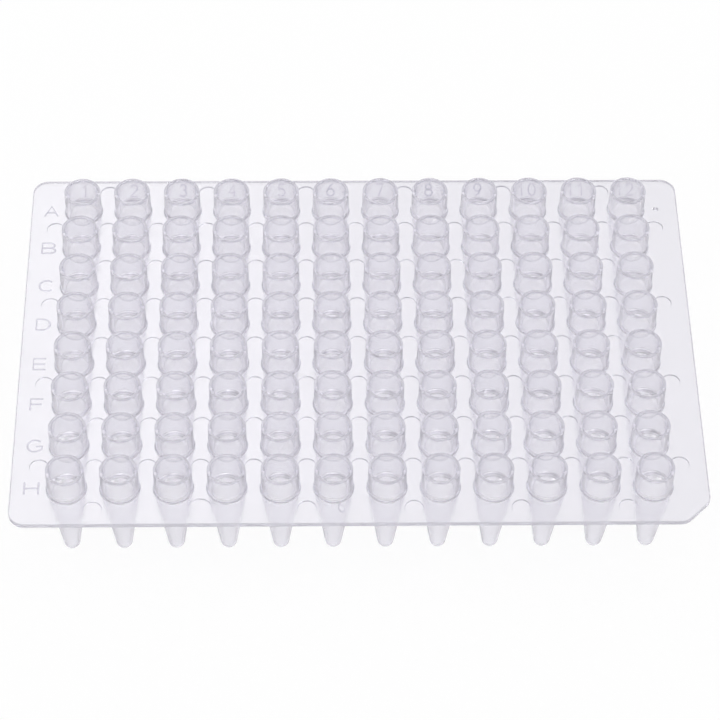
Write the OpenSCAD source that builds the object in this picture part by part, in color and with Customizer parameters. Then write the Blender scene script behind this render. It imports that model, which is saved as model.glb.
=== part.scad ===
// Unskirted 96-well plate with thin-walled conical tubes, moulded in one piece.
// Millimetres, +Z up. The tube tips stand on z = 0 and the deck is centred on the Z axis.
// Column 1 is at -X, row A is at +Y, and the cut corner lies beside the last well, H12.

/* [Deck] */
// Length of the deck along X
deck_length = 118; // [112:0.5:124]
// Width of the deck along Y
deck_width = 78; // [73:0.5:84]
// Thickness of the deck
deck_thickness = 1; // [0.6:0.1:2]
// Radius of the three round corners
corner_radius = 2.8; // [1:0.2:4]
// Length that the cut takes off each side of the marked corner
corner_cut = 4.3; // [3:0.1:5]
// Radius that blends the cut into the two sides
cut_radius = 2.2; // [0.5:0.1:3]

/* [Well grid] */
// Number of columns, numbered from 1
columns = 12; // [2:1:12]
// Number of rows, lettered from A
rows = 8; // [2:1:8]
// Distance between neighbouring wells
well_pitch = 9; // [8.6:0.1:9.4]

/* [Collar] */
// Height of the collar's rim above the deck
rim_height = 5.2; // [3:0.1:7]
// Diameter of the collar at its rim
rim_diameter = 6.5; // [6.2:0.1:6.9]
// Diameter of the collar where it meets the deck
collar_base_diameter = 6.65; // [6.5:0.05:7]
// Width of the sloped foot around the collar
foot_width = 0.28; // [0.1:0.02:0.5]
// Bevel on the outer and inner edge of the rim
rim_bevel = 0.08; // [0.02:0.02:0.16]

/* [Well] */
// Diameter of the straight bore that takes a cap
bore_diameter = 5.4; // [5.2:0.05:5.5]
// Depth of the straight bore, where the ledge starts
ledge_depth = 4.4; // [2.5:0.1:6]
// Height of the sloped ledge
ledge_height = 1; // [0.4:0.1:1.5]
// Diameter below the ledge
throat_diameter = 4.95; // [4.7:0.05:5.1]
// Diameter of the well where its cone starts
well_cone_diameter = 4.84; // [4.4:0.02:4.9]
// Radius of the round bottom of the well
well_tip_radius = 1.08; // [0.8:0.02:1.2]
// Diameter of the flat in the middle of the well's bottom
floor_diameter = 0.8; // [0.4:0.1:1.2]
// Thickness of the floor of the well
floor_thickness = 0.45; // [0.2:0.05:0.8]

/* [Tube] */
// Height of the whole plate, from the tube tips to the rims
total_height = 21.4; // [19:0.1:24]
// Diameter of the tube just below the deck
tube_diameter = 6.2; // [5.8:0.05:6.4]
// Diameter of the tube where its cone starts
tube_cone_diameter = 6; // [5.6:0.05:6.2]
// Depth below the rims at which the cone starts, inside and outside
cone_depth = 8.6; // [8:0.1:11]
// Radius of the round tip of the tube
tip_radius = 1.45; // [1.3:0.05:1.7]
// Diameter of the flat gate mark at the very tip
gate_diameter = 0.7; // [0.3:0.1:1.2]

/* [Marks on the deck] */
// Diameter of the ejector pin marks
mark_diameter = 3.15; // [2:0.05:3.6]
// Depth of the ejector pin marks
mark_depth = 0.2; // [0.05:0.05:0.4]
// Distance of the margin marks from the outer wells along X
side_mark_offset = 4.9; // [4.5:0.1:5.2]
// Distance of the margin marks from the outer wells along Y
end_mark_offset = 4.4; // [4:0.1:4.9]
// Diameter of the one wider mark in the front margin
wide_mark_diameter = 4.2; // [3:0.1:4.6]
// Diameter of the locating dimple beside the last well of row A
dimple_diameter = 1.35; // [0.8:0.05:2]
// Depth of the locating dimple
dimple_depth = 0.4; // [0.1:0.05:0.5]
// Distance of the locating dimple from the last well of row A
dimple_offset = 5.5; // [5:0.1:6]
// Diameter of the round end of the gate nib
nib_diameter = 1.4; // [0.8:0.1:1.8]
// Width of the gate nib where it leaves the collar
nib_neck = 1; // [0.5:0.1:1.4]
// Distance from the well's centre to the far end of the gate nib
nib_reach = 5.3; // [4.8:0.1:5.6]
// Height of the gate nib above the deck
nib_height = 0.3; // [0.1:0.1:0.8]
// Direction of the gate nib, from its well
nib_angle = -73; // [-90:1:-60]

/* [Hidden] */
$fn = 48;
// overlap that cuts cleanly
eps = 0.01;
// largest turn between two points of a deck corner
arc_step = 7.5;
// points round the end of the gate nib
nib_points = 12;
// angle below the dome's equator where the cone meets it
dome_angle = 20;
clear_plastic = "lavender";

deck_top = total_height - rim_height;
deck_bottom = deck_top - deck_thickness;
cone_top = total_height - cone_depth;
ledge_top = total_height - ledge_depth;
ledge_bottom = ledge_top - ledge_height;

// Centre of the well in a column and row, both counted from 0
function well_x(column) = (column - (columns - 1) / 2) * well_pitch;
function well_y(row) = ((rows - 1) / 2 - row) * well_pitch;

// Corner points of the deck, counter-clockwise from the front left, and the radius at each
deck_corners = [
    [-deck_length / 2, -deck_width / 2],
    [deck_length / 2 - corner_cut, -deck_width / 2],
    [deck_length / 2, -deck_width / 2 + corner_cut],
    [deck_length / 2, deck_width / 2],
    [-deck_length / 2, deck_width / 2]
];
corner_radii = [corner_radius, cut_radius, cut_radius, corner_radius, corner_radius];

function unit(v) = v / norm(v);
function neighbour(i, step) = deck_corners[(i + step + len(deck_corners)) % len(deck_corners)];
function towards(i, step) = unit(neighbour(i, step) - deck_corners[i]);
function half_angle(i) = acos(towards(i, -1) * towards(i, 1)) / 2;
function arc_centre(i) =
    deck_corners[i] + unit(towards(i, -1) + towards(i, 1)) * corner_radii[i] / sin(half_angle(i));
// Points along the arc that rounds corner i, from the side before it to the side after it
function corner_arc(i) =
    let (
        out = -towards(i, -1),
        start = atan2(out[1], out[0]) - 90,
        turn = 180 - 2 * half_angle(i),
        steps = ceil(turn / arc_step)
    )
    [for (k = [0 : steps])
        arc_centre(i) + corner_radii[i] * [cos(start + turn * k / steps), sin(start + turn * k / steps)]];

module deck() {
    translate([0, 0, deck_bottom]) linear_extrude(deck_thickness)
        polygon([for (i = [0 : len(deck_corners) - 1], point = corner_arc(i)) point]);
}

// Right half of a section that ends below in a dome with a small flat. The side profile starts
// where the cone ends above, and the cone runs from there onto the dome, which it meets at
// dome_angle.
module domed_section(side, dome_radius, flat_diameter, bottom) {
    dome_centre = bottom + sqrt(pow(dome_radius, 2) - pow(flat_diameter / 2, 2));
    meet = [dome_radius * cos(dome_angle), dome_centre - dome_radius * sin(dome_angle)];
    slope = (side[0][0] - meet[0]) / (side[0][1] - meet[1]);
    top = side[len(side) - 1][1];
    intersection() {
        polygon(concat(
            [[0, bottom], [meet[0] - slope * (meet[1] - bottom), bottom]],
            side,
            [[0, top]]
        ));
        union() {
            translate([0, dome_centre]) circle(r = dome_radius);
            translate([-well_pitch, dome_centre]) square([2 * well_pitch, top]);
        }
    }
}

// One tube, solid: cone, shank through the deck, sloped foot and collar
module tube_body() {
    rotate_extrude() domed_section([
        [tube_cone_diameter / 2, cone_top],
        [tube_diameter / 2, deck_bottom],
        [tube_diameter / 2, deck_top - deck_thickness / 2],
        [collar_base_diameter / 2 + foot_width, deck_top - deck_thickness / 2],
        [collar_base_diameter / 2 + foot_width, deck_top],
        [collar_base_diameter / 2, deck_top + foot_width],
        [rim_diameter / 2, total_height - rim_bevel],
        [rim_diameter / 2 - rim_bevel, total_height]
    ], tip_radius, gate_diameter, 0);
}

// The space inside one tube: round bottom, cone, throat, ledge, bore and bevelled mouth
module well_space() {
    rotate_extrude() domed_section([
        [well_cone_diameter / 2, cone_top],
        [throat_diameter / 2, ledge_bottom],
        [bore_diameter / 2, ledge_top],
        [bore_diameter / 2, total_height - rim_bevel],
        [bore_diameter / 2 + rim_bevel + eps, total_height + eps]
    ], well_tip_radius, floor_diameter, floor_thickness);
}

module at_wells() {
    for (column = [0 : columns - 1], row = [0 : rows - 1])
        translate([well_x(column), well_y(row), 0]) children();
}

// Shallow round mark in the top of the deck
module mark(x, y, diameter) {
    translate([x, y, deck_top - mark_depth]) cylinder(d = diameter, h = mark_depth + eps);
}

module ejector_marks() {
    // one mark at each crossing between four wells
    for (column = [0 : columns - 2], row = [0 : rows - 2])
        mark(well_x(column) + well_pitch / 2, well_y(row) - well_pitch / 2, mark_diameter);
    // every second gap along the rear and front margins
    for (column = [0 : 2 : columns - 2]) {
        mark(well_x(column) + well_pitch / 2, well_y(0) + end_mark_offset, mark_diameter);
        mark(well_x(column) + well_pitch / 2, well_y(rows - 1) - end_mark_offset,
             column == 2 ? wide_mark_diameter : mark_diameter);
    }
    // every second gap along the left and right margins
    for (row = [0 : 2 : rows - 2], side = [-1, 1])
        mark(side * (well_x(columns - 1) + side_mark_offset), well_y(row) - well_pitch / 2,
             mark_diameter);
}

module dimple() {
    translate([well_x(columns - 1) + dimple_offset, well_y(0), deck_top - dimple_depth])
        cylinder(d = dimple_diameter, h = dimple_depth + eps);
}

// Low drop-shaped remnant of the gate, on the deck in front of the last row
module nib() {
    end_radius = nib_diameter / 2;
    end_centre = nib_reach - end_radius;
    root = collar_base_diameter / 2 - foot_width;
    translate([well_x(floor(columns / 2) - 1), well_y(rows - 1), deck_top - deck_thickness / 2])
        rotate(nib_angle) linear_extrude(deck_thickness / 2 + nib_height) polygon(concat(
            [[root, -nib_neck / 2]],
            [for (k = [0 : nib_points]) let (turn = 180 * k / nib_points - 90)
                [end_centre + end_radius * cos(turn), end_radius * sin(turn)]],
            [[root, nib_neck / 2]]
        ));
}

module well_plate() {
    color(clear_plastic) difference() {
        union() {
            deck();
            at_wells() tube_body();
            nib();
        }
        at_wells() well_space();
        ejector_marks();
        dimple();
    }
}

well_plate();
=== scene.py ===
"""Clear 96-well plate with conical tubes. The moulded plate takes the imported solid's place; the
row letters, the column numbers and a plain stage are added to it."""

import math

import bmesh
import bpy
from bpy.props import FloatProperty, FloatVectorProperty, IntProperty, PointerProperty
from mathutils import Euler, Matrix, Vector


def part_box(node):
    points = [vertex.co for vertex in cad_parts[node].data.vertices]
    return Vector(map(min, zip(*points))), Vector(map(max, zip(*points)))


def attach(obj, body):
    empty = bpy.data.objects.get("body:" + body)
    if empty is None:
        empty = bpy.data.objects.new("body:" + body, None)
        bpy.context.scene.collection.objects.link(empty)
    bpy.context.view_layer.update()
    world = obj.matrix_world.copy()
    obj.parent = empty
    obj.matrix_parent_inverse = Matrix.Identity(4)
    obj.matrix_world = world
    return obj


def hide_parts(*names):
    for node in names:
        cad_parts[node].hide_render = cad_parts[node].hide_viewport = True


bl_info = {
    "name": "Well plate builder",
    "version": (1, 0, 0),
    "blender": (4, 5, 0),
    "location": "3D View > Sidebar > Well Plate",
    "description": "Builds a clear 96-well plate with its lettering and a plain stage",
    "category": "Object",
}

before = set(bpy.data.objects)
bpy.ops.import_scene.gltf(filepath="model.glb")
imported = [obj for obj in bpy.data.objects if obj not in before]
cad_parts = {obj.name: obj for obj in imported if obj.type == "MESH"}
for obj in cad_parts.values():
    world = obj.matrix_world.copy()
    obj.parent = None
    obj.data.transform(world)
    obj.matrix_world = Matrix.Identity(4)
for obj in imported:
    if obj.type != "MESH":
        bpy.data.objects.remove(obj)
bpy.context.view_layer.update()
PLATE_LOW, PLATE_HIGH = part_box("well_plate")
PLATE_SIZE = PLATE_HIGH - PLATE_LOW

# Edges with a larger turn than this stay crisp
SHARP_ANGLE = math.radians(38)
# Points closer than this are one point, on a turned form's seam and on the carved plate
SEAM_GAP, WELD_GAP = 1e-7, 2e-7
# Largest turn, in degrees, between two points of a deck corner
CORNER_STEP = 7.5
# Sides of the round cutters, and of the ridge that makes a stroke
CUTTER_SIDES, STROKE_SIDES = 28, 8
# A wall's normal has at most this share upwards or downwards
WALL_TILT = 0.8
# Width of a zone along the deck's outline that holds its side, and reach of the zones round the
# crossings and the dimple that hold the marks, all clear of the collars
SIDE_ZONE, MARK_ZONE, DIMPLE_ZONE = 0.0022, 0.0023, 0.001
# Bands of height above the deck's top that get painted shade: the deck in multiples of its thickness,
# the collars' feet in multiples of the foot, the signs in multiples of their relief
DECK_BAND, FOOT_BAND, SIGN_BAND = (-1.05, 0.05), (0.55, 1.05), (0.25, 1.25)
# Share of the ledge that each of its two softened edges takes
LEDGE_SOFTNESS = 0.12
# Share of its depth by which an ejector mark's floor is smaller than the mark in radius, and
# size of the dimple's floor as a share of the dimple
MARK_TAPER, DIMPLE_FLOOR = 0.2, 0.6
# Width of the nib beside the collar, as a share of its width at the far end
NIB_TAIL = 0.45
# Height in the sky, the very top being 1, from which it is at full strength
SKY_TOP = 0.9


# ---------------------------------------------------------------- sizes and colours


def length(name, description, default):
    """A length in metres, shown with enough places for tenths of a millimetre."""
    return FloatProperty(
        name=name, description=description, default=default, min=0.0, precision=5, unit="LENGTH"
    )


def share(name, description, default):
    """A plain number from 0 to 1."""
    return FloatProperty(name=name, description=description, default=default, min=0.0, max=1.0)


class DeckSizes(bpy.types.PropertyGroup):
    """Sizes of the flat deck that carries the tubes."""

    length: length("Length", "Length of the deck along X", PLATE_SIZE.x)
    width: length("Width", "Width of the deck along Y", PLATE_SIZE.y)
    thickness: length("Thickness", "Thickness of the deck", 0.001)
    corner_radius: length("Corner radius", "Radius of the three round corners", 0.0028)
    corner_cut: length("Corner cut", "Length that the cut takes off each side", 0.0043)
    cut_radius: length("Cut radius", "Radius that blends the cut into the sides", 0.0022)
    edge_round: length("Edge round", "Softening of the deck's upper and lower edge", 0.0001)


class WellSizes(bpy.types.PropertyGroup):
    """Sizes of one collar and of the well inside it."""

    columns: IntProperty(name="Columns", description="Number of columns", default=12, min=2)
    rows: IntProperty(name="Rows", description="Number of rows", default=8, min=2, max=8)
    pitch: length("Pitch", "Distance between neighbouring wells", 0.009)
    rim_height: length("Rim height", "Height of the rims above the deck", 0.0052)
    rim_diameter: length("Rim diameter", "Outer diameter of the collar at its rim", 0.0065)
    base_diameter: length("Base diameter", "Collar diameter at the deck", 0.00665)
    foot: length("Foot", "Radius of the hollow fillet round the collar's foot", 0.00028)
    rim_round: length("Rim round", "Rounding of the rim's two edges", 0.00009)
    bore_diameter: length("Bore", "Diameter of the straight mouth", 0.0054)
    ledge_depth: length("Ledge depth", "Depth of the ledge's upper edge", 0.0044)
    ledge_height: length("Ledge height", "Height of the sloped ledge", 0.001)
    throat_diameter: length("Throat", "Diameter below the ledge", 0.00495)
    cone_diameter: length("Cone diameter", "Well diameter where its cone starts", 0.00484)
    tip_radius: length("Bottom radius", "Radius of the round bottom of the well", 0.00108)
    floor_diameter: length("Floor", "Diameter of the flat in the bottom", 0.0008)
    floor_thickness: length("Floor thickness", "Plastic under the well", 0.00045)
    segments: IntProperty(name="Segments", description="Sides of each round wall", default=34, min=12)


class TubeSizes(bpy.types.PropertyGroup):
    """Sizes of the outside of one tube below the deck."""

    diameter: length("Diameter", "Tube diameter just below the deck", 0.0062)
    cone_diameter: length("Cone diameter", "Tube diameter where its cone starts", 0.006)
    cone_depth: length("Cone depth", "Depth of the cone's start below the rims", 0.0086)
    tip_radius: length("Tip radius", "Radius of the round tip", 0.00145)
    gate_diameter: length("Gate", "Diameter of the flat gate mark at the tip", 0.0007)


class MarkSizes(bpy.types.PropertyGroup):
    """Sizes of the ejector marks, the dimple and the nib on the deck."""

    diameter: length("Mark diameter", "Diameter of the ejector marks", 0.00315)
    depth: length("Mark depth", "Depth of the ejector marks", 0.0002)
    side_offset: length("Side offset", "Marks beyond the outer columns", 0.0049)
    end_offset: length("End offset", "Marks beyond the outer rows", 0.0044)
    wide_diameter: length("Wide mark", "Diameter of the one wider mark", 0.0042)
    dimple_diameter: length("Dimple diameter", "Diameter of the dimple by A12", 0.00135)
    dimple_depth: length("Dimple depth", "Depth of the dimple", 0.0004)
    dimple_offset: length("Dimple offset", "Distance of the dimple from A12", 0.0055)
    nib_length: length("Nib length", "Length of the gate nib in front of H6", 0.0021)
    nib_width: length("Nib width", "Width that the gate nib swells to", 0.0014)
    nib_height: length("Nib height", "Height that the gate nib swells to", 0.0003)
    nib_shift: length("Nib shift", "Distance of the nib's tail from the well along X", 0.0008)
    nib_turn: FloatProperty(
        name="Nib turn", description="Direction of the gate nib", subtype="ANGLE",
        default=math.radians(-68),
    )


class LetterSizes(bpy.types.PropertyGroup):
    """Sizes of the raised row letters and column numbers."""

    letter_height: length("Letter height", "Height of a row letter", 0.00245)
    letter_width: length("Letter width", "Width of a row letter", 0.0024)
    letter_offset: length("Letter offset", "Letters beyond the first column", 0.0059)
    digit_height: length("Digit height", "Height of a column number", 0.0028)
    digit_width: length("Digit width", "Width of one digit", 0.0015)
    digit_gap: length("Digit gap", "Space between two digits", 0.0008)
    digit_offset: length("Digit offset", "Numbers beyond the first row", 0.0052)
    stroke: length("Stroke", "Width of a stroke", 0.00036)
    relief: length("Relief", "Height of the strokes above the deck", 0.00014)


class PlasticLook(bpy.types.PropertyGroup):
    """Look of the clear plastic."""

    tint: FloatVectorProperty(
        name="Tint", description="Colour of the light that the plastic passes",
        subtype="COLOR", size=3, min=0.0, max=1.0, default=(0.78, 0.765, 0.83),
    )
    density: FloatProperty(
        name="Density", description="How fast the plastic takes that colour, per metre",
        default=40.0, min=0.0,
    )
    surface: FloatVectorProperty(
        name="Surface colour", description="Colour of a surface seen face on",
        subtype="COLOR", size=3, min=0.0, max=1.0, default=(0.965, 0.958, 0.983),
    )
    # painted shade: the edge colour darkens the plastic where it turns away from the eye, and in the
    # bands of painted shade below
    edge: FloatVectorProperty(
        name="Edge colour", description="Colour of a surface that turns away from the eye",
        subtype="COLOR", size=3, min=0.0, max=1.0, default=(0.20, 0.18, 0.30),
    )
    # painted shade: sets how late a surface that turns away from the eye takes the edge colour
    edge_power: FloatProperty(
        name="Edge power", description="How late a surface that turns away takes the edge colour",
        default=2.9, min=0.5, max=8.0,
    )
    # Shares of the edge colour painted as shade along the rims, round the collars' feet, on the
    # letters, numbers and marks, on the deck's side and on the deck, and the height of the rims' band
    # of painted shade
    rim_shade: share("Rim shade", "Share of the edge colour along the rims", 0.42)
    rim_shade_depth: length("Rim depth", "Height of the denser band along the rims", 0.0005)
    foot_shade: share("Foot shade", "Share of the edge colour round the collars' feet", 0.7)
    letter_shade: share("Letter shade", "Share of the edge colour on the row letters", 0.38)
    number_shade: share("Number shade", "Share of the edge colour on the column numbers", 0.85)
    mark_shade: share("Mark shade", "Share of the edge colour on the marks' small walls", 0.35)
    side_shade: share("Side shade", "Share of the edge colour on the deck's upright side", 0.4)
    deck_shade: share("Deck shade", "Share of the edge colour on the deck", 0.155)
    clearness: share("Clearness", "Share of light that passes without being scattered", 0.81)
    throat_clearness: share("Throat clearness", "Clearness of the walls just below the ledges", 0.98)
    # the deck's side is made less clear so that its painted shade shows
    side_clearness: share("Side clearness", "Clearness of the deck's upright side", 0.45)
    roughness: share("Roughness", "Roughness of the collars and their ledges", 0.09)
    haze: share("Haze", "Roughness of the deck and the tubes", 0.19)
    haze_fade: length("Haze fade", "Height above the deck over which the haze ends", 0.0002)
    evenness: share("Evenness", "How even the gloss is over the surface", 0.2)
    ripple_scale: FloatProperty(
        name="Ripple scale", description="Ripples of the surface in each metre", default=220.0,
        min=0.0,
    )
    ripple_depth: length("Ripple depth", "Height of the surface's ripples", 0.0002)
    ripple_strength: share("Ripple strength", "How much the ripples are seen", 0.05)
    ior: FloatProperty(name="IOR", description="Refractive index", default=1.49, min=1.0)
    bends: IntProperty(
        name="Bends", description="Surfaces that bend a ray before it passes straight on",
        default=4, min=0,
    )
    passed: FloatVectorProperty(
        name="Passed colour", description="Share of the light left after passing straight on",
        subtype="COLOR", size=3, min=0.0, max=1.0, default=(0.993, 0.992, 0.997),
    )


class StageSettings(bpy.types.PropertyGroup):
    """Camera, lamps and floor."""

    azimuth: FloatProperty(
        name="Azimuth", description="Turn of the camera round the plate",
        subtype="ANGLE", default=math.radians(-1.644),
    )
    elevation: FloatProperty(
        name="Elevation", description="Height of the camera above the horizon",
        subtype="ANGLE", default=math.radians(50.70),
    )
    roll: FloatProperty(
        name="Roll", description="Roll of the camera", subtype="ANGLE", default=math.radians(1.04)
    )
    distance: length("Distance", "Distance of the camera from its aim", 0.4858)
    aim: FloatVectorProperty(
        name="Aim", description="Point that the camera looks at", size=3, unit="LENGTH",
        precision=5, default=(0.00023, -0.00809, 0.0214),
    )
    lens: FloatProperty(name="Lens", description="Focal length in millimetres", default=140.8)
    key_width: length("Key width", "Width of the key lamp", 0.8)
    key_height: length("Key height", "Height of the key lamp's panel", 0.35)
    key_place: FloatVectorProperty(
        name="Key place", description="Place of the key lamp, which faces the plate", size=3,
        unit="LENGTH", default=(-0.35, 0.45, 0.75),
    )
    key_power: FloatProperty(
        name="Key power", description="Power of the key lamp", unit="POWER", default=1.2
    )
    fill: FloatProperty(name="Fill", description="Strength of the soft sky", default=1.0)
    horizon: share("Horizon", "Strength of the sky at the horizon as a share of its top", 0.55)
    floor_white: share("Floor white", "Share of the floor seen as plain white", 0.9)
    floor_reach: length("Floor reach", "Distance of the floor's sides from the plate", 3.0)


SETTINGS = {
    "plate_deck": DeckSizes,
    "plate_wells": WellSizes,
    "plate_tubes": TubeSizes,
    "plate_marks": MarkSizes,
    "plate_letters": LetterSizes,
    "plate_plastic": PlasticLook,
    "plate_stage": StageSettings,
}


# ---------------------------------------------------------------- shared helpers


def deck_top():
    """Height of the deck's upper face."""
    return PLATE_HIGH.z - bpy.context.scene.plate_wells.rim_height


def well_centre(column, row):
    """Centre of a well, with column and row counted from 0 at A1."""
    wells = bpy.context.scene.plate_wells
    return Vector((
        (column - (wells.columns - 1) / 2) * wells.pitch,
        ((wells.rows - 1) / 2 - row) * wells.pitch,
        0.0,
    ))


def dimple_centre():
    """Centre of the dimple beside the last well of row A."""
    last_column = bpy.context.scene.plate_wells.columns - 1
    offset = bpy.context.scene.plate_marks.dimple_offset
    return well_centre(last_column, 0) + Vector((offset, 0.0, 0.0))


def arc(centre_x, centre_y, radius_x, radius_y, start, end, steps):
    """Points along an ellipse's arc, angles in degrees, both ends included."""
    turns = [math.radians(start + (end - start) * i / steps) for i in range(steps + 1)]
    return [(centre_x + radius_x * math.cos(t), centre_y + radius_y * math.sin(t)) for t in turns]


def new_object(name, data):
    """Puts a mesh, a lamp or a camera into the scene as an object at the origin."""
    obj = bpy.data.objects.new(name, data)
    bpy.context.scene.collection.objects.link(obj)
    return obj


def object_from(name, points, edges=(), faces=()):
    """An object made of points and of the edges or faces between them."""
    mesh = bpy.data.meshes.new(name)
    mesh.from_pydata([Vector(p) for p in points], list(edges), list(faces))
    return new_object(name, mesh)


def object_from_bmesh(name, mesh):
    """An object made of a bmesh, which is freed."""
    data = bpy.data.meshes.new(name)
    mesh.to_mesh(data)
    mesh.free()
    return new_object(name, data)


def remove(objects):
    """Deletes objects that only helped to build a piece, with their meshes."""
    for obj in objects:
        mesh = obj.data
        bpy.data.objects.remove(obj)
        bpy.data.meshes.remove(mesh)


def section_object(name, section):
    """A section as a chain of points in the XZ plane, X being the radius."""
    edges = [(i, i + 1) for i in range(len(section) - 1)]
    return object_from(name, [(r, 0.0, z) for r, z in section], edges)


def domed_end(side_radius, side_height, radius, flat, bottom, steps):
    """Section points of a rounded end, from the axis out to where a cone's line meets the dome."""
    centre = bottom + math.sqrt(radius**2 - (flat / 2) ** 2)
    reach = math.hypot(side_radius, side_height - centre)
    lean = math.atan2(side_height - centre, side_radius) - math.acos(radius / reach)
    first = math.degrees(-math.acos(flat / 2 / radius))
    last = math.degrees(lean)
    return [(0.0, bottom)] + arc(0.0, centre, radius, radius, first, last, steps)


# ---------------------------------------------------------------- node tree helpers


def add_node(tree, kind, inputs=None, **values):
    """A new node with its plain properties set, and with each given input linked to a socket or
    set to a value."""
    node = tree.nodes.new(kind)
    for key, value in values.items():
        setattr(node, key, value)
    for key, value in (inputs or {}).items():
        if isinstance(value, bpy.types.NodeSocket):
            tree.links.new(value, node.inputs[key])
        else:
            node.inputs[key].default_value = value
    return node


def maths(tree, operation, *values):
    """Output of a maths node; each value is a socket or a number."""
    node = add_node(tree, "ShaderNodeMath", dict(enumerate(values)), operation=operation)
    return node.outputs[0]


def ramp(tree, value, start, end, low, high):
    """Socket that goes evenly from low to high as the value goes from start to end."""
    node = add_node(tree, "ShaderNodeMapRange", {
        "Value": value, "From Min": start, "From Max": end, "To Min": low, "To Max": high,
    })
    return node.outputs["Result"]


def axes(tree, vector):
    """The X, Y and Z sockets of a vector socket."""
    return add_node(tree, "ShaderNodeSeparateXYZ", {0: vector}).outputs


def new_tree(name, inputs):
    """A geometry tree with the named inputs and one geometry out, and the sockets of its inputs."""
    tree = bpy.data.node_groups.new(name, "GeometryNodeTree")
    for label, kind in inputs.items():
        tree.interface.new_socket(label, in_out="INPUT", socket_type=f"NodeSocket{kind}")
    tree.interface.new_socket("Geometry", in_out="OUTPUT", socket_type="NodeSocketGeometry")
    return tree, add_node(tree, "NodeGroupInput").outputs


def finish_tree(tree, geometry, material):
    """Ends a piece's tree: copies are made real and the whole gets its material."""
    real = add_node(tree, "GeometryNodeRealizeInstances", {0: geometry})
    dressed = add_node(tree, "GeometryNodeSetMaterial", {
        "Geometry": real.outputs[0], "Material": material,
    })
    add_node(tree, "NodeGroupOutput", {"Geometry": dressed.outputs[0]})
    return tree


def settle(obj, modifier):
    """Turns the object, as the modifier makes it, into a plain mesh."""
    obj.update_tag()
    graph = bpy.context.evaluated_depsgraph_get()
    mesh = bpy.data.meshes.new_from_object(obj.evaluated_get(graph), depsgraph=graph)
    obj.modifiers.remove(modifier)
    mesh.name = obj.name
    old, obj.data = obj.data, mesh
    bpy.data.meshes.remove(old)


def even_normals(obj):
    """Lets the large faces set the normals, so that long walls don't shade like lenses."""
    modifier = obj.modifiers.new("even_normals", "WEIGHTED_NORMAL")
    modifier.mode = "FACE_AREA"
    modifier.weight = 100
    modifier.keep_sharp = True
    settle(obj, modifier)


def run_tree(obj, tree, values):
    """Puts the tree on the object, sets its inputs and turns the result into a plain mesh."""
    modifier = obj.modifiers.new(tree.name, "NODES")
    modifier.node_group = tree
    for item in tree.interface.items_tree:
        if item.item_type == "SOCKET" and item.in_out == "INPUT" and item.name in values:
            modifier[item.identifier] = values[item.name]
    settle(obj, modifier)
    if not len(obj.data.polygons):
        raise RuntimeError(f"{obj.name}: the node tree made no faces")


def turned_group():
    """Node group that turns a section round the Z axis into a closed solid."""
    tree, given = new_tree("turned_form", {
        "Section": "Geometry", "Points": "Int", "Segments": "Int",
    })
    # a sheet with a line of points for each point of the section, its last point on its first
    around = maths(tree, "ADD", given["Segments"], 1.0)
    sheet = add_node(tree, "GeometryNodeMeshGrid", {
        "Vertices X": given["Points"], "Vertices Y": around,
    })
    index = add_node(tree, "GeometryNodeInputIndex").outputs[0]
    line = add_node(tree, "FunctionNodeIntegerMath", {0: index, 1: around},
                    operation="DIVIDE_FLOOR")
    step = add_node(tree, "FunctionNodeIntegerMath", {0: index, 1: around},
                    operation="FLOORED_MODULO")
    # each line's points lie where the section's point does, turned step by step
    place = add_node(tree, "GeometryNodeInputPosition")
    sample = add_node(tree, "GeometryNodeSampleIndex", {
        "Geometry": given["Section"], "Value": place.outputs[0], "Index": line.outputs[0],
    }, data_type="FLOAT_VECTOR", domain="POINT")
    way_round = maths(tree, "DIVIDE", step.outputs[0], given["Segments"])
    turned = add_node(tree, "ShaderNodeVectorRotate", {
        "Vector": sample.outputs[0], "Angle": maths(tree, "MULTIPLY", way_round, -2 * math.pi),
    }, rotation_type="Z_AXIS")
    moved = add_node(tree, "GeometryNodeSetPosition", {
        "Geometry": sheet.outputs["Mesh"], "Position": turned.outputs[0],
    })
    merged = add_node(tree, "GeometryNodeMergeByDistance", {
        "Geometry": moved.outputs[0], "Distance": SEAM_GAP,
    })
    add_node(tree, "NodeGroupOutput", {"Geometry": merged.outputs[0]})
    return tree


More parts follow.
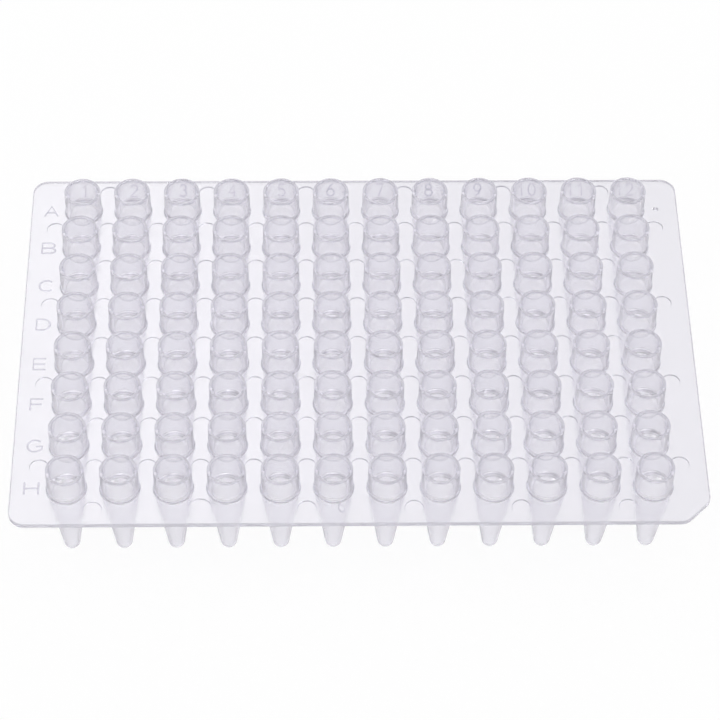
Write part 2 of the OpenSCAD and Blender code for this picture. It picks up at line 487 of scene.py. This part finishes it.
def plate_tree():
    """Node tree of the moulded plate: the deck with a tube at each point of the well grid, less
    the wells, the ejector marks and the dimple."""
    tree, given = new_tree("moulded_plate", {
        "Geometry": "Geometry", "Columns": "Int", "Rows": "Int", "Pitch": "Float",
        "Segments": "Int", "Tube Section": "Object", "Tube Points": "Int",
        "Well Section": "Object", "Well Points": "Int", "Additions": "Object",
        "Cuts": "Object", "Sharp Angle": "Float", "Plastic": "Material",
    })
    spans = {}
    for label in ("Columns", "Rows"):
        gaps = maths(tree, "SUBTRACT", given[label], 1.0)
        spans[label] = maths(tree, "MULTIPLY", gaps, given["Pitch"])
    grid = add_node(tree, "GeometryNodeMeshGrid", {
        "Size X": spans["Columns"], "Size Y": spans["Rows"],
        "Vertices X": given["Columns"], "Vertices Y": given["Rows"],
    })

    turned = turned_group()
    repeated = {}
    for label in ("Tube", "Well"):
        section = add_node(tree, "GeometryNodeObjectInfo", {"Object": given[f"{label} Section"]})
        solid = add_node(tree, "GeometryNodeGroup", {
            "Section": section.outputs["Geometry"], "Points": given[f"{label} Points"],
            "Segments": given["Segments"],
        }, node_tree=turned)
        copies = add_node(tree, "GeometryNodeInstanceOnPoints", {
            "Points": grid.outputs["Mesh"], "Instance": solid.outputs["Geometry"],
        })
        real = add_node(tree, "GeometryNodeRealizeInstances", {0: copies.outputs[0]})
        repeated[label] = real.outputs[0]
    others = {}
    for label in ("Additions", "Cuts"):
        info = add_node(tree, "GeometryNodeObjectInfo", {"Object": given[label]})
        others[label] = info.outputs["Geometry"]

    body = add_node(tree, "GeometryNodeMeshBoolean", operation="UNION", solver="MANIFOLD")
    for source in (given["Geometry"], repeated["Tube"], others["Additions"]):
        tree.links.new(source, body.inputs["Mesh 2"])
    carved = add_node(tree, "GeometryNodeMeshBoolean", {"Mesh 1": body.outputs[0]},
                      operation="DIFFERENCE", solver="MANIFOLD")
    for source in (repeated["Well"], others["Cuts"]):
        tree.links.new(source, carved.inputs["Mesh 2"])

    weld = add_node(tree, "GeometryNodeMergeByDistance", {
        "Geometry": carved.outputs[0], "Distance": WELD_GAP,
    })
    smooth = add_node(tree, "GeometryNodeSetShadeSmooth", {"Geometry": weld.outputs[0]},
                      domain="FACE")
    angle = add_node(tree, "GeometryNodeInputMeshEdgeAngle")
    wide = add_node(tree, "FunctionNodeCompare", {
        0: angle.outputs["Unsigned Angle"], 1: given["Sharp Angle"],
    }, data_type="FLOAT", operation="GREATER_THAN")
    crisp = add_node(tree, "GeometryNodeSetShadeSmooth", {
        "Geometry": smooth.outputs[0], "Selection": wide.outputs[0], "Shade Smooth": False,
    }, domain="EDGE")
    return finish_tree(tree, crisp.outputs[0], given["Plastic"])


# ---------------------------------------------------------------- material


def new_material(name):
    """A material without nodes, and its tree."""
    material = bpy.data.materials.new(name)
    material.use_nodes = True
    material.node_tree.nodes.clear()
    return material, material.node_tree


def between(tree, value, low, high):
    """Mask socket that is 1 where the value lies between two numbers and 0 elsewhere."""
    return maths(tree, "COMPARE", value, (low + high) / 2, (high - low) / 2)


def above_deck(tree, z, unit, band):
    """Mask socket of a band of heights, counted from the deck's top in multiples of a unit."""
    low, high = band
    return between(tree, z, deck_top() + unit * low, deck_top() + unit * high)


def wall_faces(tree, place):
    """Mask socket that is 1 on upright and steep faces and 0 on flatter ones."""
    upwards = axes(tree, place.outputs["Normal"])[2]
    return maths(tree, "LESS_THAN", maths(tree, "ABSOLUTE", upwards), WALL_TILT)


def deck_side(tree, place):
    """Mask socket that is 1 on the walls along the deck's outline: its side, and the outer walls
    of the marks in its margins."""
    deck = bpy.context.scene.plate_deck
    x, y = axes(tree, place.outputs["Object"])[:2]
    beyond_x = maths(tree, "GREATER_THAN", maths(tree, "ABSOLUTE", x), deck.length / 2 - SIDE_ZONE)
    beyond_y = maths(tree, "GREATER_THAN", maths(tree, "ABSOLUTE", y), deck.width / 2 - SIDE_ZONE)
    outer = maths(tree, "MAXIMUM", beyond_x, beyond_y)
    return maths(tree, "MULTIPLY", outer, wall_faces(tree, place))


def within(tree, across, along, reach):
    """Mask socket that is 1 where two offsets lie inside a circle and 0 elsewhere."""
    square = maths(tree, "MULTIPLY_ADD", along, along, maths(tree, "MULTIPLY", across, across))
    return maths(tree, "LESS_THAN", square, reach**2)


def mark_walls(tree, place):
    """Mask socket that is 1 on the small walls of the ejector marks and the dimple. Each mark lies
    on or close to a crossing of the lanes between the wells, inside the grid or beyond it."""
    half = bpy.context.scene.plate_wells.pitch / 2
    crossing, dimple = well_centre(0, 0) + Vector((half, -half, 0.0)), dimple_centre()
    x, y = axes(tree, place.outputs["Object"])[:2]
    from_mark = [
        maths(tree, "WRAP", maths(tree, "SUBTRACT", axis, start), half, -half)
        for axis, start in ((x, crossing.x), (y, crossing.y))
    ]
    from_dimple = [maths(tree, "SUBTRACT", x, dimple.x), maths(tree, "SUBTRACT", y, dimple.y)]
    near = maths(tree, "MAXIMUM", within(tree, *from_mark, MARK_ZONE),
                 within(tree, *from_dimple, DIMPLE_ZONE))
    return maths(tree, "MULTIPLY", near, wall_faces(tree, place))


def plastic_colour(tree, place, side):
    """Colour socket of the plastic: pale face on, with painted shade where it turns away from the
    eye, on the deck, its side, its marks and its raised signs, and along the rims and feet of the
    collars. The edge colour mixed in stands in for the grey and the dark lines that refraction and
    reflection give the clear plastic."""
    look, letters = bpy.context.scene.plate_plastic, bpy.context.scene.plate_letters
    wells, thickness = bpy.context.scene.plate_wells, bpy.context.scene.plate_deck.thickness
    outer_row = well_centre(0, 0).y
    y, z = axes(tree, place.outputs["Object"])[1:]
    # painted shade: the edge colour is mixed in where a surface turns away from the eye, in place of
    # the dark edges that refraction gives the clear plastic
    turn = add_node(tree, "ShaderNodeLayerWeight", {"Blend": 0.5})
    painted_shade = maths(tree, "POWER", turn.outputs["Facing"], look.edge_power)
    # painted shade: a band of the edge colour along the rims, in place of the dark ring that the lip
    # shows by refraction
    rim_start = PLATE_HIGH.z - look.rim_shade_depth
    rim = ramp(tree, z, rim_start, rim_start + look.rim_shade_depth / 2, 0.0, look.rim_shade)
    painted_shade = maths(tree, "MAXIMUM", painted_shade, rim)
    # painted shade: a ring of the edge colour round each collar's foot, in place of the dark line
    # that refraction draws at the hollow fillet; the mask leaves out the nib in front of the last row
    collars = maths(tree, "LESS_THAN", maths(tree, "ABSOLUTE", y),
                    outer_row + wells.base_diameter / 2 + wells.foot)
    feet = maths(tree, "MULTIPLY", above_deck(tree, z, wells.foot, FOOT_BAND), collars)
    # painted shade: the edge colour on the raised letters and numbers, more on the numbers seen
    # through the collars, in place of the refraction that outlines the clear strokes
    number = maths(tree, "GREATER_THAN", y, outer_row + letters.digit_offset / 2)
    sign_shade = maths(tree, "MULTIPLY_ADD", number, look.number_shade - look.letter_shade,
                       look.letter_shade)
    for mask, shade in (
        # painted shade: a darker tone on the deck and on the walls at its height, in place of the
        # grey that reflection and refraction give the clear deck
        (above_deck(tree, z, thickness, DECK_BAND), look.deck_shade),
        # painted shade round the collars' feet
        (feet, look.foot_shade),
        # painted shade on the raised signs
        (above_deck(tree, z, letters.relief, SIGN_BAND), sign_shade),
        # painted shade on the deck's upright side, in place of the grey band that refraction shows
        # along its outline
        (side, look.side_shade),
        # painted shade: thin outlines of the edge colour on the small walls of the marks and the
        # dimple, in place of the refraction that outlines them
        (mark_walls(tree, place), look.mark_shade),
    ):
        painted_shade = maths(tree, "MAXIMUM", painted_shade, maths(tree, "MULTIPLY", mask, shade))
    # a mix node's inputs 6 and 7 and its output 2 are its colours
    colour = add_node(tree, "ShaderNodeMix", {
        "Factor": painted_shade, 6: (*look.surface, 1.0), 7: (*look.edge, 1.0),
    }, data_type="RGBA")
    return colour.outputs[2]


def plastic_clearness(tree, place, side):
    """Clearness socket: highest on the throats below the ledges, lowest on the deck's side."""
    look, wells = bpy.context.scene.plate_plastic, bpy.context.scene.plate_wells
    upper = PLATE_HIGH.z - wells.ledge_depth - wells.ledge_height
    lower = deck_top() - 2 * bpy.context.scene.plate_deck.thickness
    z = axes(tree, place.outputs["Object"])[2]
    throat = maths(tree, "MULTIPLY", between(tree, z, lower, upper), wall_faces(tree, place))
    clear = maths(tree, "MULTIPLY_ADD", throat, look.throat_clearness - look.clearness,
                  look.clearness)
    # the deck's side is made less clear, so that its painted shade shows as a grey veil
    return ramp(tree, side, 0.0, 1.0, clear, look.side_clearness)


def clear_plastic():
    """Clear, slightly cloudy polypropylene, hazier from the deck down. It bends light at the first
    walls, passes it straight on through those behind, and tints it with depth."""
    material = bpy.data.materials.get("clear_polypropylene")
    if material:
        return material
    look = bpy.context.scene.plate_plastic
    material, tree = new_material("clear_polypropylene")
    place = add_node(tree, "ShaderNodeTexCoord")
    z = axes(tree, place.outputs["Object"])[2]
    rough = ramp(tree, z, deck_top(), deck_top() + look.haze_fade, look.haze, look.roughness)
    ripple = add_node(tree, "ShaderNodeTexNoise", {
        "Vector": place.outputs["Object"], "Scale": look.ripple_scale,
    }).outputs["Fac"]
    # a ripple is a half on average, and leaves the roughness as it is there
    uneven = maths(tree, "MULTIPLY_ADD", ripple, 1.0 - look.evenness, 0.5 + look.evenness / 2)
    flow = add_node(tree, "ShaderNodeBump", {
        "Strength": look.ripple_strength, "Distance": look.ripple_depth, "Height": ripple,
    })
    side = deck_side(tree, place)
    body = add_node(tree, "ShaderNodeBsdfPrincipled", {
        "Base Color": plastic_colour(tree, place, side),
        "Roughness": maths(tree, "MULTIPLY", uneven, rough),
        "IOR": look.ior,
        "Transmission Weight": plastic_clearness(tree, place, side),
        "Normal": flow.outputs["Normal"],
    })
    depth = add_node(tree, "ShaderNodeVolumeAbsorption", {
        "Color": (*look.tint, 1.0), "Density": look.density,
    })
    through = add_node(tree, "ShaderNodeBsdfTransparent", {"Color": (*look.passed, 1.0)})
    rays = add_node(tree, "ShaderNodeLightPath").outputs
    behind = maths(tree, "GREATER_THAN", rays["Ray Depth"], look.bends - 0.5)
    choose = add_node(tree, "ShaderNodeMixShader", {
        "Fac": maths(tree, "MAXIMUM", rays["Is Shadow Ray"], behind),
        1: body.outputs[0], 2: through.outputs[0],
    })
    add_node(tree, "ShaderNodeOutputMaterial", {
        "Surface": choose.outputs[0], "Volume": depth.outputs[0],
    })
    return material


# ---------------------------------------------------------------- plate


def tube_section():
    """Outside of one tube: tip, cone, shank, hollow foot, collar and rounded rim. Inside the deck
    the shank widens to a root, a little past the foot and up to just below the deck's top."""
    wells, tube = bpy.context.scene.plate_wells, bpy.context.scene.plate_tubes
    height, top = PLATE_HIGH.z, deck_top()
    middle = top - bpy.context.scene.plate_deck.thickness / 2
    base, rim = wells.base_diameter / 2, wells.rim_diameter / 2
    foot, curl = wells.foot, wells.rim_round
    root, foot_start = base + foot * 1.1, top - foot * 0.05
    cone_top = height - tube.cone_depth
    return (
        domed_end(tube.cone_diameter / 2, cone_top, tube.tip_radius, tube.gate_diameter, 0.0,
                  steps=5)
        + [(tube.cone_diameter / 2, cone_top), (tube.diameter / 2, middle)]
        + [(root, middle), (root, foot_start)]
        + arc(base + foot, top + foot, foot, foot, 250, 180, 2)
        + arc(rim - curl, height - curl, curl, curl, 0, 90, 2)
        + [(0.0, height)]
    )


def well_section():
    """Space in one tube: round bottom, cone, throat, softened ledge, bore and rounded mouth."""
    wells, tube = bpy.context.scene.plate_wells, bpy.context.scene.plate_tubes
    height, curl = PLATE_HIGH.z, wells.rim_round
    cone_top = height - tube.cone_depth
    ledge_top = height - wells.ledge_depth
    ledge_bottom = ledge_top - wells.ledge_height
    bore, throat = wells.bore_diameter / 2, wells.throat_diameter / 2
    soft = wells.ledge_height * LEDGE_SOFTNESS
    lean = (bore - throat) * LEDGE_SOFTNESS
    return (
        domed_end(wells.cone_diameter / 2, cone_top, wells.tip_radius, wells.floor_diameter,
                  wells.floor_thickness, steps=3)
        + [(wells.cone_diameter / 2, cone_top), (throat, ledge_bottom - soft)]
        + [(throat + lean, ledge_bottom + soft), (bore - lean, ledge_top - soft)]
        + [(bore, ledge_top + soft)]
        + arc(bore + curl, height - curl, curl, curl, 180, 100, 2)
        + [(bore + curl, height + curl), (0.0, height + curl)]
    )


def deck_outline(inset):
    """Points round the deck, counter-clockwise, taken in by inset; corners keep their centres."""
    deck = bpy.context.scene.plate_deck
    half_x, half_y = deck.length / 2 - inset, deck.width / 2 - inset
    cut = deck.corner_cut - inset * (2 - math.sqrt(2))
    corners = [
        ((-half_x, -half_y), deck.corner_radius - inset),
        ((half_x - cut, -half_y), deck.cut_radius - inset),
        ((half_x, -half_y + cut), deck.cut_radius - inset),
        ((half_x, half_y), deck.corner_radius - inset),
        ((-half_x, half_y), deck.corner_radius - inset),
    ]
    points = []
    for i, (corner, radius) in enumerate(corners):
        here = Vector(corner)
        before = (Vector(corners[i - 1][0]) - here).normalized()
        after = (Vector(corners[(i + 1) % len(corners)][0]) - here).normalized()
        half = before.angle(after) / 2
        centre = here + (before + after).normalized() * radius / math.sin(half)
        start = math.degrees(math.atan2(-before.y, -before.x)) - 90
        turn = 180 - 2 * math.degrees(half)
        points += arc(centre.x, centre.y, radius, radius, start, start + turn,
                      round(turn / CORNER_STEP))
    return points


def deck_object():
    """The bare deck: a slab whose upper and lower edges are a little softened."""
    deck = bpy.context.scene.plate_deck
    top, soft = deck_top(), deck.edge_round
    bottom = top - deck.thickness
    mesh = bmesh.new()
    loops = []
    for inset, z in ((soft, bottom), (0.0, bottom + soft), (0.0, top - soft), (soft, top)):
        loops.append([mesh.verts.new((x, y, z)) for x, y in deck_outline(inset)])
    mesh.faces.new(list(reversed(loops[0])))
    mesh.faces.new(loops[-1])
    for low, high in zip(loops, loops[1:]):
        for i in range(len(low)):
            j = (i + 1) % len(low)
            mesh.faces.new((low[i], low[j], high[j], high[i]))
    return object_from_bmesh("plate_moulding", mesh)


def add_frustum(mesh, place, low, high, low_radius, high_radius):
    """Adds a closed round cutter that stands between two heights."""
    middle = Matrix.Translation((place.x, place.y, (low + high) / 2))
    bmesh.ops.create_cone(mesh, cap_ends=True, segments=CUTTER_SIDES, radius1=low_radius,
                          radius2=high_radius, depth=high - low, matrix=middle)


def mark_places():
    """Centre and diameter of each ejector mark: one at each crossing between four wells, and one
    in every second gap along the four margins."""
    wells, marks = bpy.context.scene.plate_wells, bpy.context.scene.plate_marks
    half = wells.pitch / 2
    last_column, last_row = wells.columns - 1, wells.rows - 1
    places = []
    for column in range(last_column):
        for row in range(last_row):
            places.append((well_centre(column, row) + Vector((half, -half, 0.0)), marks.diameter))
    for column in range(0, last_column, 2):
        rear = well_centre(column, 0) + Vector((half, marks.end_offset, 0.0))
        front = well_centre(column, last_row) + Vector((half, -marks.end_offset, 0.0))
        places.append((rear, marks.diameter))
        places.append((front, marks.wide_diameter if column == 2 else marks.diameter))
    for row in range(0, last_row, 2):
        for side in (-1, 1):
            x = side * (well_centre(last_column, 0).x + marks.side_offset)
            places.append((Vector((x, well_centre(0, row).y - half, 0.0)), marks.diameter))
    return places


def cuts_object():
    """Cutters for the ejector marks and the dimple."""
    marks, top = bpy.context.scene.plate_marks, deck_top()
    mesh = bmesh.new()
    for place, diameter in mark_places():
        add_frustum(mesh, place, top - marks.depth, top + marks.depth,
                    diameter / 2 - marks.depth * MARK_TAPER, diameter / 2 + marks.depth)
    dimple = marks.dimple_diameter / 2
    add_frustum(mesh, dimple_centre(), top - marks.dimple_depth, top + marks.dimple_depth,
                dimple * DIMPLE_FLOOR, dimple)
    return object_from_bmesh("deck_cuts", mesh)


def nib_object():
    """A low gate nib on the deck in front of the last row: a ball, stretched and swelling away
    from the collar like a drop."""
    wells, marks = bpy.context.scene.plate_wells, bpy.context.scene.plate_marks
    well = well_centre(wells.columns // 2 - 1, wells.rows - 1)
    tail = well + Vector((marks.nib_shift, -wells.base_diameter / 2, deck_top()))
    turn = Matrix.Rotation(marks.nib_turn, 3, "Z")
    mesh = bmesh.new()
    bmesh.ops.create_uvsphere(mesh, u_segments=24, v_segments=12, radius=0.5)
    for vert in mesh.verts:
        along = vert.co.x + 0.5
        swell = NIB_TAIL + (1 - NIB_TAIL) * along
        across, up = vert.co.y * swell * marks.nib_width, vert.co.z * 2 * swell * marks.nib_height
        vert.co = tail + turn @ Vector((along * marks.nib_length, across, up))
    return object_from_bmesh("gate_nib", mesh)


class WELLPLATE_OT_moulding(bpy.types.Operator):
    """Build the moulded plate: deck, collars, tubes, wells, marks and nib in one piece"""

    bl_idname = "wellplate.moulding"
    bl_label = "Moulded plate"

    def execute(self, context):
        wells = context.scene.plate_wells
        plate, cuts, nib = deck_object(), cuts_object(), nib_object()
        tube, well = tube_section(), well_section()
        tube_line = section_object("tube_section", tube)
        well_line = section_object("well_section", well)
        plastic = clear_plastic()
        run_tree(plate, plate_tree(), {
            "Columns": wells.columns, "Rows": wells.rows, "Pitch": wells.pitch,
            "Segments": wells.segments, "Tube Section": tube_line, "Tube Points": len(tube),
            "Well Section": well_line, "Well Points": len(well), "Additions": nib,
            "Cuts": cuts, "Sharp Angle": SHARP_ANGLE, "Plastic": plastic,
        })
        remove([cuts, nib, tube_line, well_line])
        even_normals(plate)
        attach(plate, "root")
        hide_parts("well_plate")
        return {"FINISHED"}


# ---------------------------------------------------------------- letters and numbers


def glyph_strokes():
    """Single-line strokes of each sign, in a box one unit wide and one unit high."""
    bowl = arc(0.6, 0.75, 0.32, 0.25, 90, -90, 6)
    belly = arc(0.62, 0.25, 0.38, 0.25, 90, -90, 6)
    return {
        "A": [[(0, 0), (0.5, 1), (1, 0)], [(0.18, 0.34), (0.82, 0.34)]],
        "B": [[(0, 0), (0, 1)] + bowl + [(0, 0.5)], [(0.6, 0.5)] + belly + [(0, 0)]],
        "C": [arc(0.55, 0.5, 0.55, 0.5, 48, 312, 14)],
        "D": [[(0, 0), (0, 1)] + arc(0.5, 0.5, 0.5, 0.5, 90, -90, 10) + [(0, 0)]],
        "E": [[(0.9, 1), (0, 1), (0, 0), (0.9, 0)], [(0, 0.5), (0.85, 0.5)]],
        "F": [[(0.9, 1), (0, 1), (0, 0)], [(0, 0.52), (0.8, 0.52)]],
        "G": [arc(0.55, 0.5, 0.55, 0.5, 48, 330, 14) + [(1.05, 0.46), (0.6, 0.46)]],
        "H": [[(0, 0), (0, 1)], [(1, 0), (1, 1)], [(0, 0.5), (1, 0.5)]],
        "0": [arc(0.5, 0.5, 0.5, 0.5, 90, 450, 16)],
        "1": [[(0.2, 0.76), (0.6, 1), (0.6, 0)]],
        "2": [arc(0.5, 0.7, 0.45, 0.3, 165, -30, 9) + [(0, 0), (1, 0)]],
        "3": [arc(0.48, 0.75, 0.42, 0.25, 155, -80, 8) + arc(0.48, 0.27, 0.48, 0.27, 80, -155, 9)],
        "4": [[(0.75, 0), (0.75, 1), (0, 0.3), (1, 0.3)]],
        "5": [[(0.9, 1), (0.15, 1), (0.08, 0.55)] + arc(0.48, 0.32, 0.48, 0.32, 125, -150, 10)],
        "6": [[(0.8, 0.97), (0.4, 0.85)] + arc(0.5, 0.31, 0.5, 0.31, 165, 525, 14)],
        "7": [[(0, 1), (1, 1), (0.35, 0)]],
        "8": [arc(0.5, 0.76, 0.4, 0.24, 270, 630, 12), arc(0.5, 0.27, 0.5, 0.27, 90, 450, 14)],
        "9": [[(0.2, 0.03), (0.6, 0.15)] + arc(0.5, 0.69, 0.5, 0.31, -15, 345, 14)],
    }


def lettering_tree():
    """Node tree that turns stroke lines into low raised ridges."""
    tree, given = new_tree("raised_strokes", {
        "Geometry": "Geometry", "Stroke": "Float", "Relief": "Float", "Sides": "Int",
        "Plastic": "Material",
    })
    half = maths(tree, "MULTIPLY", given["Stroke"], 0.5)
    line = add_node(tree, "GeometryNodeMeshToCurve", {"Mesh": given["Geometry"]})
    ring = add_node(tree, "GeometryNodeCurvePrimitiveCircle", {
        "Resolution": given["Sides"], "Radius": half,
    }, mode="RADIUS")
    ridge = add_node(tree, "GeometryNodeCurveToMesh", {
        "Curve": line.outputs[0], "Profile Curve": ring.outputs["Curve"], "Fill Caps": True,
    })
    x, y, z = axes(tree, add_node(tree, "GeometryNodeInputPosition").outputs[0])
    squash = maths(tree, "DIVIDE", given["Relief"], half)
    low = add_node(tree, "ShaderNodeCombineXYZ", {
        "X": x, "Y": y, "Z": maths(tree, "MULTIPLY", z, squash),
    })
    flat = add_node(tree, "GeometryNodeSetPosition", {
        "Geometry": ridge.outputs[0], "Position": low.outputs[0],
    })
    smooth = add_node(tree, "GeometryNodeSetShadeSmooth", {"Geometry": flat.outputs[0]},
                      domain="FACE")
    return finish_tree(tree, smooth.outputs[0], given["Plastic"])


def lettering(name, signs):
    """Makes a piece of raised signs from each sign, its centre, its width and its height."""
    strokes = glyph_strokes()
    letters = bpy.context.scene.plate_letters
    points, edges = [], []
    for sign, centre, width, height in signs:
        for line in strokes[sign]:
            first = len(points)
            for x, y in line:
                points.append((centre.x + (x - 0.5) * width, centre.y + (y - 0.5) * height, 0.0))
            edges += [(i, i + 1) for i in range(first, len(points) - 1)]
    piece = object_from(name, points, edges)
    tree = bpy.data.node_groups.get("raised_strokes") or lettering_tree()
    run_tree(piece, tree, {
        "Stroke": letters.stroke, "Relief": letters.relief, "Sides": STROKE_SIDES,
        "Plastic": clear_plastic(),
    })
    piece.data.transform(Matrix.Translation((0.0, 0.0, deck_top())))
    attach(piece, "root")


class WELLPLATE_OT_letters(bpy.types.Operator):
    """Raise the row letters on the left margin"""

    bl_idname = "wellplate.letters"
    bl_label = "Row letters"

    def execute(self, context):
        letters, wells = context.scene.plate_letters, context.scene.plate_wells
        shift = Vector((-letters.letter_offset, 0.0, 0.0))
        lettering("row_letters", [
            ("ABCDEFGH"[row], well_centre(0, row) + shift, letters.letter_width,
             letters.letter_height)
            for row in range(wells.rows)
        ])
        return {"FINISHED"}


class WELLPLATE_OT_numbers(bpy.types.Operator):
    """Raise the column numbers on the rear margin"""

    bl_idname = "wellplate.numbers"
    bl_label = "Column numbers"

    def execute(self, context):
        letters, wells = context.scene.plate_letters, context.scene.plate_wells
        step = letters.digit_width + letters.digit_gap
        signs = []
        for column in range(wells.columns):
            digits = str(column + 1)
            for i, digit in enumerate(digits):
                shift = Vector(((i - (len(digits) - 1) / 2) * step, letters.digit_offset, 0.0))
                signs.append((digit, well_centre(column, 0) + shift, letters.digit_width,
                              letters.digit_height))
        lettering("column_numbers", signs)
        return {"FINISHED"}


# ---------------------------------------------------------------- stage


def camera_matrix(stage):
    """Places the camera by its azimuth, elevation, roll and distance from its aim."""
    turn = Euler((math.pi / 2 - stage.elevation, 0.0, stage.azimuth)).to_matrix().to_4x4()
    turn = turn @ Matrix.Rotation(stage.roll, 4, "Z")
    place = Vector(stage.aim) + turn.to_3x3() @ Vector((0.0, 0.0, stage.distance))
    return Matrix.Translation(place) @ turn


def add_key_lamp(stage):
    """Adds one large soft lamp that faces the middle of the floor, under the plate."""
    light = bpy.data.lights.new("key_softbox", "AREA")
    light.shape = "RECTANGLE"
    light.size, light.size_y = stage.key_width, stage.key_height
    light.energy = stage.key_power
    lamp = new_object("key_softbox", light)
    lamp.location = stage.key_place
    lamp.rotation_euler = Vector(stage.key_place).to_track_quat("Z", "Y").to_euler()


def add_camera(stage):
    """Adds the scene's camera."""
    lens = bpy.data.cameras.new("camera")
    lens.lens = stage.lens
    lens.sensor_width = 36.0
    lens.clip_start, lens.clip_end = 0.01, 20.0
    camera = new_object("camera", lens)
    camera.matrix_world = camera_matrix(stage)
    bpy.context.scene.camera = camera


def seen_rays(tree):
    """Socket that is 1 where the camera sees a thing directly, mirrored or through plastic."""
    rays = add_node(tree, "ShaderNodeLightPath").outputs
    seen = maths(tree, "MAXIMUM", rays["Is Camera Ray"], rays["Is Glossy Ray"])
    return maths(tree, "MAXIMUM", seen, rays["Is Transmission Ray"])


def floor_material(white):
    """White floor that is seen as plain white to a given share, and keeps its shadow for the rest."""
    material, tree = new_material("white_floor")
    matt = add_node(tree, "ShaderNodeBsdfDiffuse", {"Color": (0.97, 0.97, 0.97, 1.0)})
    glow = add_node(tree, "ShaderNodeEmission", {"Color": (1.0, 1.0, 1.0, 1.0)})
    mix = add_node(tree, "ShaderNodeMixShader", {
        "Fac": maths(tree, "MULTIPLY", seen_rays(tree), white),
        1: matt.outputs[0], 2: glow.outputs[0],
    })
    add_node(tree, "ShaderNodeOutputMaterial", {"Surface": mix.outputs[0]})
    return material


def soft_sky(stage):
    """Soft sky, brightest overhead and dimmer towards the horizon, and plain white to look at."""
    world = bpy.data.worlds.new("soft_sky")
    bpy.context.scene.world = world
    world.use_nodes = True
    tree = world.node_tree
    tree.nodes.clear()
    height = axes(tree, add_node(tree, "ShaderNodeTexCoord").outputs["Generated"])[2]
    level = ramp(tree, height, 0.0, SKY_TOP, stage.horizon * stage.fill, stage.fill)
    glow = add_node(tree, "ShaderNodeBackground", {
        "Color": (1.0, 1.0, 1.0, 1.0), "Strength": maths(tree, "MAXIMUM", level, seen_rays(tree)),
    })
    add_node(tree, "ShaderNodeOutputWorld", {"Surface": glow.outputs[0]})


class WELLPLATE_OT_stage(bpy.types.Operator):
    """Set the floor, the soft light and the camera"""

    bl_idname = "wellplate.stage"
    bl_label = "Stage"

    def execute(self, context):
        scene, stage = context.scene, context.scene.plate_stage
        reach = stage.floor_reach
        corners = [(-reach, -reach, 0), (reach, -reach, 0), (reach, reach, 0), (-reach, reach, 0)]
        floor = object_from("floor", corners, faces=[(0, 1, 2, 3)])
        floor.data.materials.append(floor_material(stage.floor_white))
        soft_sky(stage)
        add_key_lamp(stage)
        add_camera(stage)
        scene.view_settings.view_transform = "Standard"
        # enough to see through a whole row of tubes
        scene.cycles.max_bounces = 24
        scene.cycles.transmission_bounces = 24
        scene.cycles.transparent_max_bounces = 64
        return {"FINISHED"}


# ---------------------------------------------------------------- panel and start


class WELLPLATE_PT_panel(bpy.types.Panel):
    """Lists the plate's sizes and its building steps"""

    bl_idname = "WELLPLATE_PT_panel"
    bl_label = "Well Plate"
    bl_space_type = "VIEW_3D"
    bl_region_type = "UI"
    bl_category = "Well Plate"

    def draw(self, context):
        for key, group in SETTINGS.items():
            box = self.layout.box()
            box.label(text=key.replace("_", " "))
            for name in group.__annotations__:
                box.prop(getattr(context.scene, key), name)
        for step in STEPS:
            self.layout.operator(step.bl_idname)


STEPS = (WELLPLATE_OT_moulding, WELLPLATE_OT_letters, WELLPLATE_OT_numbers, WELLPLATE_OT_stage)


def register():
    for group in SETTINGS.values():
        bpy.utils.register_class(group)
    for step in STEPS:
        bpy.utils.register_class(step)
    bpy.utils.register_class(WELLPLATE_PT_panel)
    for key, group in SETTINGS.items():
        setattr(bpy.types.Scene, key, PointerProperty(type=group))


def unregister():
    for key in SETTINGS:
        delattr(bpy.types.Scene, key)
    bpy.utils.unregister_class(WELLPLATE_PT_panel)
    for step in reversed(STEPS):
        bpy.utils.unregister_class(step)
    for group in reversed(list(SETTINGS.values())):
        bpy.utils.unregister_class(group)


def main():
    register()
    bpy.ops.wellplate.moulding()
    bpy.ops.wellplate.letters()
    bpy.ops.wellplate.numbers()
    bpy.ops.wellplate.stage()


if __name__ == "__main__":
    main()
